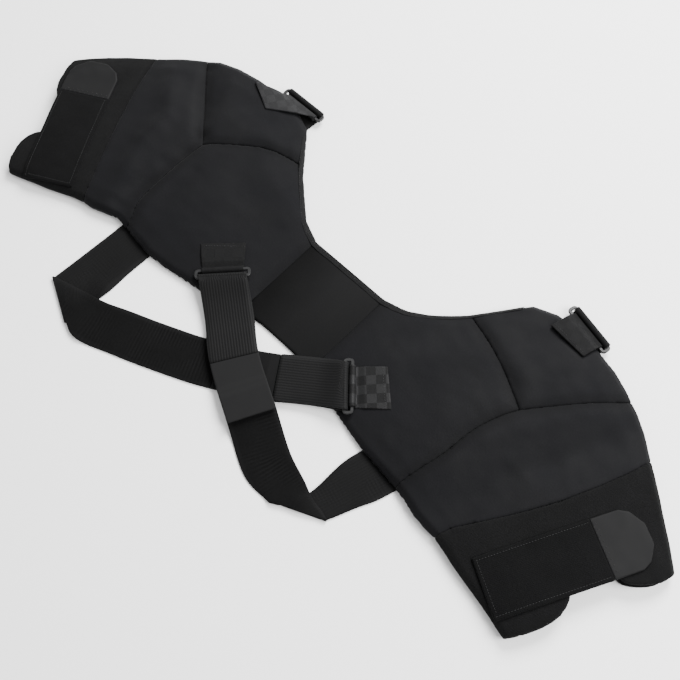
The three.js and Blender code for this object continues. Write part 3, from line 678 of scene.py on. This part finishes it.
class BRACE_OT_tabs(Operator):
    """Makes the webbing tabs, the hook tabs of the cross straps and the neck binding"""

    bl_idname = "brace.tabs"
    bl_label = "Tabs and Binding"

    def execute(self, context):
        c = colours()
        step = sizes().strip_step
        for place, (angle, ground, squares) in WEBBING.items():
            look = webbing_finish(f"{place}_webbing", c.webbing, angle, ground, squares)
            lay_strip(f"{place}_tab", f"{place}_tab_webbing", look, step)
        shown = hook_finish("right_cross_hook", c.hook)
        # The left cross tab gets the hook tape darkened by painted shadow
        shadowed = hook_finish("left_cross_hook", c.shadowed_hook)
        for side, hook in zip(SIDES, (shown, shadowed)):
            lay_strip(f"{side}_cross_tab", f"{side}_cross_tab_tape", hook, step)
        band = webbing_finish("binding_weave", c.webbing, angle=0.3, ground=0.9, squares=0.15)
        lay_strip("neckline_binding", "neckline_binding_tape", band, step * BINDING_FINE)
        return {"FINISHED"}


# Middle lines of the cross straps in millimetres, from a front ring under the panel to
# the fold and on to the other shoulder's back ring.
ROUTES = {
    "left": (
        ((-191, 185), (-195, 137), (-198, 18), (-202, -63), (-205, -127), (-208, -179)),
        (
            (-208, -179), (-162, -169), (-127, -157), (-94, -144), (-44, -122),
            (-7, -102), (28, -81), (65, -54), (93, -36),
        ),
    ),
    "right": (
        ((235, 188), (227, 146), (210, 55), (191, -34), (179, -75), (166, -115), (152, -160)),
        ((152, -160), (123, -157), (92, -150), (46, -126), (-15, -94), (-54, -65), (-92, -36)),
    ),
}


# How far each strap lies doubled from its back ring, in millimetres
DOUBLED = {"left": 88, "right": 106}
# How much of the pile shows on the run under the panel
UNDER_PILE = 0.4
# Edges of a strap that turn more than this, in radians, stay sharp by this crease
CREASE_ANGLE = 0.7
CREASE = 0.9
# Faces of a strap that are joined to squares: how far they may lean and skew, in radians
JOIN_LEAN = 0.35
JOIN_SKEW = 1.2

# Small pulls of the straps' cloth in millimetres: place, shift and reach
TUCKS = {
    "left": (
        (-184, -194, 3, 5, 14),
        (-162, -190, -1, -4, 16),
        (-176, -138, 4, 0, 22),
        (-95, -142, 0.6, 1.4, 45),
    ),
    "right": (
        (120, -181, 2.5, 6.5, 22),
        (139, -135, 9, -8, 24),
    ),
}


def tuck(bm, pulls):
    """Pulls the strap's cloth sideways at a few places"""
    for vert in bm.verts:
        for x, y, dx, dy, reach in pulls:
            away = (vert.co.xy - Vector((x, y)) * MM).length / (reach * MM)
            pull = math.exp(-away * away) * MM
            vert.co.x += dx * pull
            vert.co.y += dy * pull


def nearest_on(route, p):
    """Signed distance across the route and distance along it, in metres"""
    best = (math.inf, 0, 0)
    run = 0
    for (ax, ay), (bx, by) in zip(route, route[1:]):
        a = Vector((ax, ay)) * MM
        b = Vector((bx, by)) * MM
        d = b - a
        t = max(0, min(1, (p - a).dot(d) / d.length_squared))
        off = p - a - d * t
        if off.length < best[0]:
            sign = 1 if d.x * off.y - d.y * off.x > 0 else -1
            best = (off.length, sign * off.length, run + t * d.length)
        run += d.length
    return best


class BRACE_OT_cross_straps(Operator):
    """Makes the crossing elastic straps"""

    bl_idname = "brace.cross_straps"
    bl_label = "Cross Straps"

    def execute(self, context):
        look = strap_finish("strap_elastic", colours().elastic, sizes().rib)
        for side in SIDES:
            node = f"{side}_cross_strap"
            mesh = merged_copy(node)
            bm = bmesh.new()
            bm.from_mesh(mesh)
            bmesh.ops.join_triangles(
                bm, faces=bm.faces, angle_face_threshold=JOIN_LEAN, angle_shape_threshold=JOIN_SKEW
            )
            crease = bm.edges.layers.float.new("crease_edge")
            lay = bm.verts.layers.float_vector.new("lay")
            for edge in bm.edges:
                if len(edge.link_faces) == 2 and edge.calc_face_angle(0) > CREASE_ANGLE:
                    edge[crease] = CREASE
            tuck(bm, TUCKS[side])
            under, over = ROUTES[side]
            whole = sum(math.dist(a, b) for a, b in zip(over, over[1:]))
            for vert in bm.verts:
                p = vert.co.xy
                low = nearest_on(under, p)
                high = nearest_on(over, p)
                on_under = low[0] < high[0]
                _, across, along = low if on_under else high
                doubled = high[2] > (whole - DOUBLED[side]) * MM
                pile = UNDER_PILE if on_under else 0.0 if doubled else 1.0
                vert[lay] = (across, along, pile)
            bm.to_mesh(mesh)
            bm.free()
            piece = add_piece(node + "_elastic", mesh, look, (node,))
            soft = piece.modifiers.new("soft", "SUBSURF")
            soft.levels = 2
            soft.render_levels = 2
        return {"FINISHED"}


class BRACE_OT_rings(Operator):
    """Gives the plastic rings their finish"""

    bl_idname = "brace.rings"
    bl_label = "Rings"

    def execute(self, context):
        look = plastic_finish("ring_plastic", colours().plastic)
        for side in SIDES:
            for place in ("back", "front"):
                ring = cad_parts[f"{side}_{place}_ring"]
                ring.data.materials.clear()
                ring.data.materials.append(look)
        return {"FINISHED"}


# Rows of stitches: the piece that they go through, the plan line in millimetres, the kind
STITCH_ROWS = (
    ("right_arm_strap_cloth", ((310, -80), (364, 22)), "straight"),
    ("right_arm_strap_cloth", ((358, -106), (412, -4)), "straight"),
    ("right_arm_strap_cloth", ((312, -81), (356, -104)), "straight"),
    ("left_arm_strap_cloth", ((-305, -77), (-360, 23)), "straight"),
    ("left_arm_strap_cloth", ((-353, -104), (-408, -3)), "straight"),
    ("left_arm_strap_cloth", ((-307, -79), (-351, -102)), "straight"),
    ("right_arm_tab_cloth", ((366, 26), (414, 1)), "zigzag"),
    ("left_arm_tab_cloth", ((-363, 28), (-409, 3)), "zigzag"),
    ("right_back_tab_webbing", ((108, 4), (139, -25)), "straight"),
    ("left_back_tab_webbing", ((-102, 4), (-135, -26)), "straight"),
    ("right_front_tab_webbing", ((208, 164), (248, 159)), "straight"),
    ("left_front_tab_webbing", ((-219, 151), (-248, 164)), "straight"),
    (
        "neckline_binding_tape",
        (
            (-146, 137), (-134, 121), (-122, 110), (-100, 89), (-80, 72), (-52, 62.5), (0, 62.5),
            (52, 62.5), (80, 71), (104, 87), (128, 109), (140, 120), (155, 139),
        ),
        "straight",
    ),
)
# A zigzag's reach to each side, in metres, and how far its stitches turn from the row
ZIGZAG_REACH = 0.0016
ZIGZAG_TURN = 0.35
# How far a stitch's middle stands over the cloth, as a share of the thread
THREAD_RISE = 0.15
# Height over everything from which the cloth's surface is looked for, in metres
LOOK_FROM = 0.1


def stitch_line(bm, tree, line, kind, s):
    """Sews one row into bm, on the surface held by tree"""
    run = 0.0
    points = [Vector((x, y, 0)) * MM for x, y in line]
    pitch = s.stitch_length + s.stitch_gap
    for a, b in zip(points, points[1:]):
        length = (b - a).length
        way = (b - a) / length
        side = Vector((-way.y, way.x, 0))
        while run < length:
            p = a + way * run
            ahead = way
            if kind == "zigzag":
                turning = side * (1 if int(run / pitch) % 2 else -1)
                p += turning * ZIGZAG_REACH
                ahead = way.slerp(turning, ZIGZAG_TURN)
            hit, normal, _, _ = tree.ray_cast(Vector((p.x, p.y, LOOK_FROM)), Vector((0, 0, -1)))
            if hit is not None:
                ahead = (ahead - normal * ahead.dot(normal)).normalized()
                turn = Matrix((ahead, normal.cross(ahead), normal)).transposed().to_4x4()
                place = Matrix.Translation(hit + normal * s.thread * THREAD_RISE) @ turn
                shape = Matrix.Diagonal((s.stitch_length / 2, s.thread / 2, s.thread / 2, 1))
                bmesh.ops.create_icosphere(bm, subdivisions=1, radius=1, matrix=place @ shape)
            run += pitch
        run -= length


class BRACE_OT_stitches(Operator):
    """Sews the stitches that show"""

    bl_idname = "brace.stitches"
    bl_label = "Stitches"

    def execute(self, context):
        s = sizes()
        look = thread_finish("sewing_thread", colours().thread)
        graph = context.evaluated_depsgraph_get()
        for number, (name, line, kind) in enumerate(STITCH_ROWS):
            tree = BVHTree.FromObject(bpy.data.objects[name], graph)
            bm = bmesh.new()
            stitch_line(bm, tree, line, kind, s)
            mesh = bpy.data.meshes.new(f"stitches_{number}")
            bm.to_mesh(mesh)
            bm.free()
            add_piece(f"stitches_{number}", mesh, look)
        return {"FINISHED"}


# The floor's half side, and how far it lies below the part, in metres
FLOOR_HALF = 3.5
FLOOR_DROP = 0.0004
# Round soft lights: name, place, what it points at, diameter in metres, power in watts
LAMPS = (
    ("key_light", (-0.3, 1.5, 1.4), (0, 0, 0), 1.2, 120),
    ("fill_light", (1.25, 0.5, 1.2), (0.1, 0, 0), 1.2, 50),
)
# Strength of the even light from all around
AIR_LIGHT = 0.85
# The camera: sensor and lens in millimetres, nearest and farthest that it sees, place in
# metres, and its axes
SENSOR = 36
LENS = 52.94
SEES_FROM = 0.05
SEES_TO = 20
CAMERA_PLACE = (0.365393, -0.284612, 0.982915)
CAMERA_RIGHT = (0.7165274, 0.69697191, -0.02861198)
CAMERA_UP = (-0.63204574, 0.66604083, 0.39611589)
CAMERA_BACK = (0.2951384, -0.26574381, 0.91775463)


def add_lamp(name, place, aim, size, power):
    """Adds a round soft light that points at aim"""
    data = bpy.data.lights.new(name, "AREA")
    data.shape = "DISK"
    data.size = size
    data.energy = power
    lamp = bpy.data.objects.new(name, data)
    lamp.location = place
    lamp.rotation_euler = (Vector(aim) - Vector(place)).to_track_quat("-Z", "Y").to_euler()
    bpy.context.scene.collection.objects.link(lamp)


def add_camera():
    """Adds the camera at the photo's angle"""
    data = bpy.data.cameras.new("photo_view")
    data.sensor_width = SENSOR
    data.lens = LENS
    data.clip_start = SEES_FROM
    data.clip_end = SEES_TO
    camera = bpy.data.objects.new("photo_view", data)
    turn = Matrix((CAMERA_RIGHT, CAMERA_UP, CAMERA_BACK)).transposed().to_4x4()
    camera.matrix_world = Matrix.Translation(CAMERA_PLACE) @ turn
    bpy.context.scene.collection.objects.link(camera)
    bpy.context.scene.camera = camera


class BRACE_OT_stage(Operator):
    """Sets the floor, the soft lights and the camera"""

    bl_idname = "brace.stage"
    bl_label = "Stage"

    def execute(self, context):
        bm = bmesh.new()
        bmesh.ops.create_grid(bm, x_segments=2, y_segments=2, size=FLOOR_HALF)
        bmesh.ops.translate(bm, verts=bm.verts, vec=(0, 0, -FLOOR_DROP))
        mesh = bpy.data.meshes.new("studio_floor")
        bm.to_mesh(mesh)
        bm.free()
        mesh.materials.append(paper_finish("floor_paper", colours().floor))
        floor = bpy.data.objects.new("studio_floor", mesh)
        context.scene.collection.objects.link(floor)
        for lamp in LAMPS:
            add_lamp(*lamp)
        world = bpy.data.worlds.new("studio_air")
        world.use_nodes = True
        air = world.node_tree.nodes["Background"]
        air.inputs["Color"].default_value = (1, 1, 1, 1)
        air.inputs["Strength"].default_value = AIR_LIGHT
        context.scene.world = world
        add_camera()
        return {"FINISHED"}


STEPS = (
    BRACE_OT_stage,
    BRACE_OT_bridge,
    BRACE_OT_panels,
    BRACE_OT_sleeves,
    BRACE_OT_cuffs,
    BRACE_OT_arm_straps,
    BRACE_OT_tabs,
    BRACE_OT_cross_straps,
    BRACE_OT_rings,
    BRACE_OT_stitches,
)


class BRACE_PT_steps(Panel):
    """Lists the brace's pieces"""

    bl_label = "Shoulder Brace"
    bl_idname = "BRACE_PT_steps"
    bl_space_type = "VIEW_3D"
    bl_region_type = "UI"
    bl_category = "Brace"

    def draw(self, context):
        for step in STEPS:
            self.layout.operator(step.bl_idname)
        for group in (context.scene.brace_sizes, context.scene.brace_colours):
            for name in group.__annotations__:
                self.layout.prop(group, name)


CLASSES = (BraceSizes, BraceColours) + STEPS + (BRACE_PT_steps,)


def register():
    for one in CLASSES:
        bpy.utils.register_class(one)
    bpy.types.Scene.brace_sizes = PointerProperty(type=BraceSizes)
    bpy.types.Scene.brace_colours = PointerProperty(type=BraceColours)


def unregister():
    del bpy.types.Scene.brace_colours
    del bpy.types.Scene.brace_sizes
    for one in reversed(CLASSES):
        bpy.utils.unregister_class(one)


def main():
    """Builds the whole scene"""
    register()
    bpy.ops.brace.stage()
    bpy.ops.brace.bridge()
    bpy.ops.brace.panels()
    bpy.ops.brace.sleeves()
    bpy.ops.brace.cuffs()
    bpy.ops.brace.arm_straps()
    bpy.ops.brace.tabs()
    bpy.ops.brace.cross_straps()
    bpy.ops.brace.rings()
    bpy.ops.brace.stitches()


if __name__ == "__main__":
    main()
